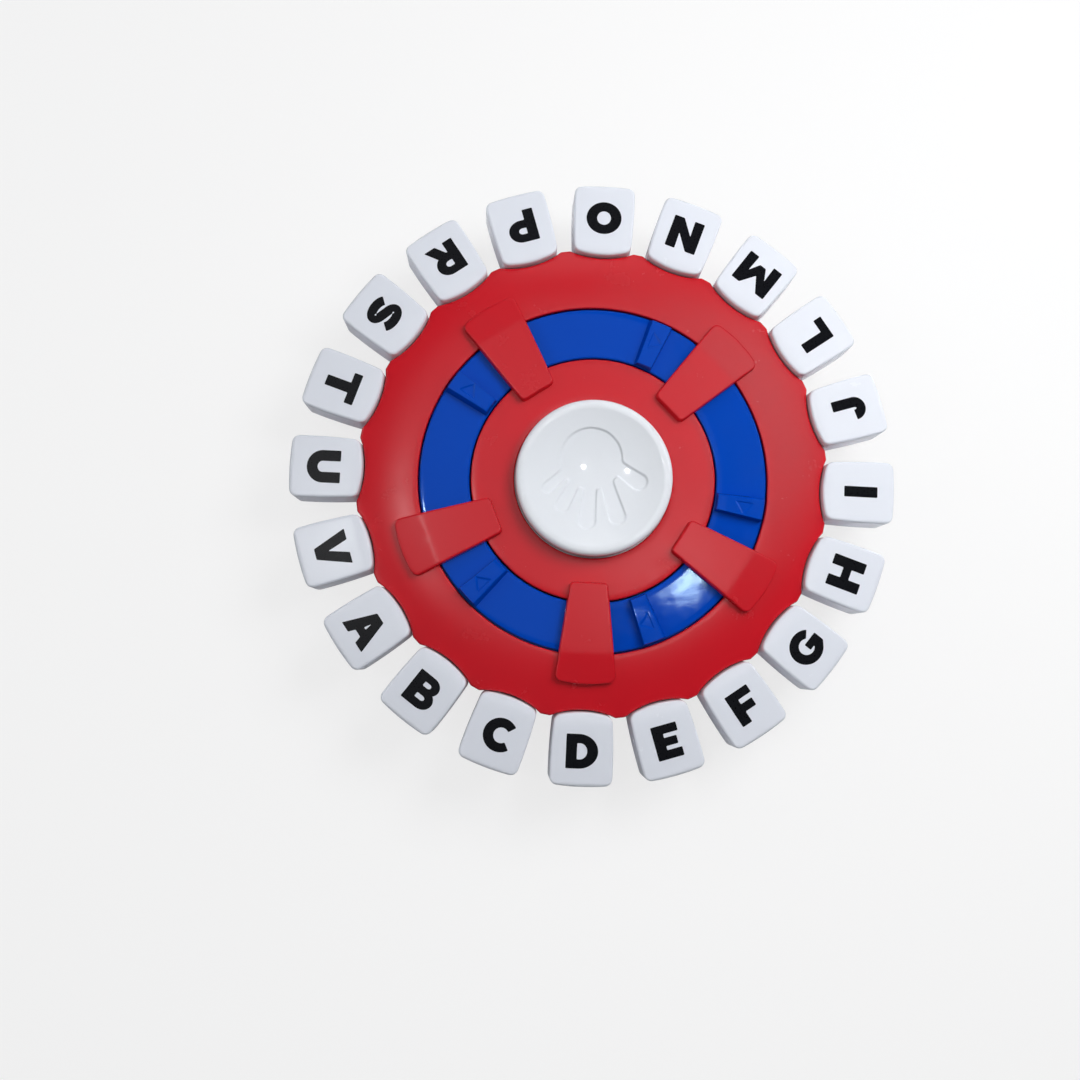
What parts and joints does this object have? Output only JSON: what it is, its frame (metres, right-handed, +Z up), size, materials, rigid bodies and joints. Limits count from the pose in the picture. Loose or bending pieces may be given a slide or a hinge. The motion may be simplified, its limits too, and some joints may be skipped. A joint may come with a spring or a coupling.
{
  "type": "electronic word game",
  "caption": "Round electronic word game: hinged letter keys round a red housing, a blue reset ring that turns under bridging arms, and a large dished centre button.",
  "frame": {"origin": "on the table under the wheel's axis", "axes": "+Z up along the wheel's axis; +X towards the key with the letter I, -Y towards the key with the letter D"},
  "size_m": [0.234, 0.234, 0.0435],
  "materials": {
    "red_housing": "moulded red, satin gloss",
    "red_base": "moulded red, fine texture",
    "blue_ring": "moulded blue, high gloss",
    "white_keys": "moulded white, gloss, printed black letters",
    "white_button": "moulded white, gloss",
    "grey_frame": "moulded grey",
    "switch_body": "plated case",
    "black_slider": "moulded black, grooved",
    "spring_steel": "spring wire",
    "nickel_contacts": "nickel plate",
    "board": "green circuit laminate",
    "board_parts": "black component bodies",
    "speaker_steel": "pressed steel",
    "magnet": "sintered magnet",
    "speaker_cone": "stiff film",
    "cells": "plain foil sleeve",
    "screws": "zinc plated, cross recess",
    "foot_rubber": "soft rubber",
    "lead_sleeve": "thin wire insulation"
  },
  "bodies": {
    "housing": {"top_housing": "red_housing", "bottom_housing": "red_base", "chassis_plate": "grey_frame", "ring_spring": "spring_steel", "button_springs": "spring_steel", "circuit_board": "board", "board_parts": "board_parts", "tact_switch": "board_parts", "speaker_frame": "speaker_steel", "speaker_magnet": "magnet", "speaker_cone": "speaker_cone", "speaker_clamp": "grey_frame", "power_switch_body": "switch_body", "batteries": "cells", "battery_contacts": "nickel_contacts", "battery_springs": "spring_steel", "battery_door": "red_base", "door_screw": "screws", "case_screws": "screws", "chassis_screws": "screws", "hub_screws": "screws", "board_screws": "screws", "speaker_screws": "screws", "switch_screws": "screws", "rubber_feet": "foot_rubber", "battery_leads": "lead_sleeve", "speaker_leads": "lead_sleeve", "switch_leads": "lead_sleeve"},
    "reset_ring": {"reset_ring": "blue_ring"},
    "centre_button": {"centre_button": "white_button"},
    "power_slider": {"power_slider": "black_slider"},
    "letter_key_a": {"letter_key_a": "white_keys"},
    "letter_key_b": {"letter_key_b": "white_keys"},
    "letter_key_c": {"letter_key_c": "white_keys"},
    "letter_key_d": {"letter_key_d": "white_keys"},
    "letter_key_e": {"letter_key_e": "white_keys"},
    "letter_key_f": {"letter_key_f": "white_keys"},
    "letter_key_g": {"letter_key_g": "white_keys"},
    "letter_key_h": {"letter_key_h": "white_keys"},
    "letter_key_i": {"letter_key_i": "white_keys"},
    "letter_key_j": {"letter_key_j": "white_keys"},
    "letter_key_l": {"letter_key_l": "white_keys"},
    "letter_key_m": {"letter_key_m": "white_keys"},
    "letter_key_n": {"letter_key_n": "white_keys"},
    "letter_key_o": {"letter_key_o": "white_keys"},
    "letter_key_p": {"letter_key_p": "white_keys"},
    "letter_key_r": {"letter_key_r": "white_keys"},
    "letter_key_s": {"letter_key_s": "white_keys"},
    "letter_key_t": {"letter_key_t": "white_keys"},
    "letter_key_u": {"letter_key_u": "white_keys"},
    "letter_key_v": {"letter_key_v": "white_keys"}
  },
  "joints": [
    {"name": "ring_turn", "type": "hinge", "parent": "housing", "child": "reset_ring", "pos_m": [0, 0, 0.0344], "axis": [0, 0, 1], "range_deg": [-7, 0], "stiffness_Nm_per_rad": 0.47, "springref_deg": 3.44, "deforming": ["ring_spring"]},
    {"name": "button_press", "type": "slide", "parent": "housing", "child": "centre_button", "axis": [0, 0, -1], "range_m": [0, 0.0035], "stiffness_N_per_m": 400, "springref_m": -0.002, "deforming": ["button_springs"]},
    {"name": "power_slide", "type": "slide", "parent": "housing", "child": "power_slider", "axis": [1, 0, 0], "range_m": [0, 0.004]},
    {"name": "key_a_hinge", "type": "hinge", "parent": "housing", "child": "letter_key_a", "pos_m": [-0.06472, -0.04702, 0.02265], "axis": [0.5878, -0.809, 0], "range_deg": [0, 20]},
    {"name": "key_b_hinge", "type": "hinge", "parent": "housing", "child": "letter_key_b", "pos_m": [-0.04702, -0.06472, 0.02265], "axis": [0.809, -0.5878, 0], "range_deg": [0, 20]},
    {"name": "key_c_hinge", "type": "hinge", "parent": "housing", "child": "letter_key_c", "pos_m": [-0.02472, -0.07608, 0.02265], "axis": [0.9511, -0.309, 0], "range_deg": [0, 20]},
    {"name": "key_d_hinge", "type": "hinge", "parent": "housing", "child": "letter_key_d", "pos_m": [0, -0.08, 0.02265], "axis": [1, 0, 0], "range_deg": [0, 20]},
    {"name": "key_e_hinge", "type": "hinge", "parent": "housing", "child": "letter_key_e", "pos_m": [0.02472, -0.07608, 0.02265], "axis": [0.9511, 0.309, 0], "range_deg": [0, 20]},
    {"name": "key_f_hinge", "type": "hinge", "parent": "housing", "child": "letter_key_f", "pos_m": [0.04702, -0.06472, 0.02265], "axis": [0.809, 0.5878, 0], "range_deg": [0, 20]},
    {"name": "key_g_hinge", "type": "hinge", "parent": "housing", "child": "letter_key_g", "pos_m": [0.06472, -0.04702, 0.02265], "axis": [0.5878, 0.809, 0], "range_deg": [0, 20]},
    {"name": "key_h_hinge", "type": "hinge", "parent": "housing", "child": "letter_key_h", "pos_m": [0.07608, -0.02472, 0.02265], "axis": [0.309, 0.9511, 0], "range_deg": [0, 20]},
    {"name": "key_i_hinge", "type": "hinge", "parent": "housing", "child": "letter_key_i", "pos_m": [0.08, 0, 0.02265], "axis": [0, 1, 0], "range_deg": [0, 20]},
    {"name": "key_j_hinge", "type": "hinge", "parent": "housing", "child": "letter_key_j", "pos_m": [0.07608, 0.02472, 0.02265], "axis": [-0.309, 0.9511, 0], "range_deg": [0, 20]},
    {"name": "key_l_hinge", "type": "hinge", "parent": "housing", "child": "letter_key_l", "pos_m": [0.06472, 0.04702, 0.02265], "axis": [-0.5878, 0.809, 0], "range_deg": [0, 20]},
    {"name": "key_m_hinge", "type": "hinge", "parent": "housing", "child": "letter_key_m", "pos_m": [0.04702, 0.06472, 0.02265], "axis": [-0.809, 0.5878, 0], "range_deg": [0, 20]},
    {"name": "key_n_hinge", "type": "hinge", "parent": "housing", "child": "letter_key_n", "pos_m": [0.02472, 0.07608, 0.02265], "axis": [-0.9511, 0.309, 0], "range_deg": [0, 20]},
    {"name": "key_o_hinge", "type": "hinge", "parent": "housing", "child": "letter_key_o", "pos_m": [0, 0.08, 0.02265], "axis": [-1, 0, 0], "range_deg": [0, 20]},
    {"name": "key_p_hinge", "type": "hinge", "parent": "housing", "child": "letter_key_p", "pos_m": [-0.02472, 0.07608, 0.02265], "axis": [-0.9511, -0.309, 0], "range_deg": [0, 20]},
    {"name": "key_r_hinge", "type": "hinge", "parent": "housing", "child": "letter_key_r", "pos_m": [-0.04702, 0.06472, 0.02265], "axis": [-0.809, -0.5878, 0], "range_deg": [0, 20]},
    {"name": "key_s_hinge", "type": "hinge", "parent": "housing", "child": "letter_key_s", "pos_m": [-0.06472, 0.04702, 0.02265], "axis": [-0.5878, -0.809, 0], "range_deg": [0, 20]},
    {"name": "key_t_hinge", "type": "hinge", "parent": "housing", "child": "letter_key_t", "pos_m": [-0.07608, 0.02472, 0.02265], "axis": [-0.309, -0.9511, 0], "range_deg": [0, 20]},
    {"name": "key_u_hinge", "type": "hinge", "parent": "housing", "child": "letter_key_u", "pos_m": [-0.08, 0, 0.02265], "axis": [0, -1, 0], "range_deg": [0, 20]},
    {"name": "key_v_hinge", "type": "hinge", "parent": "housing", "child": "letter_key_v", "pos_m": [-0.07608, -0.02472, 0.02265], "axis": [0.309, -0.9511, 0], "range_deg": [0, 20]}
  ]
}
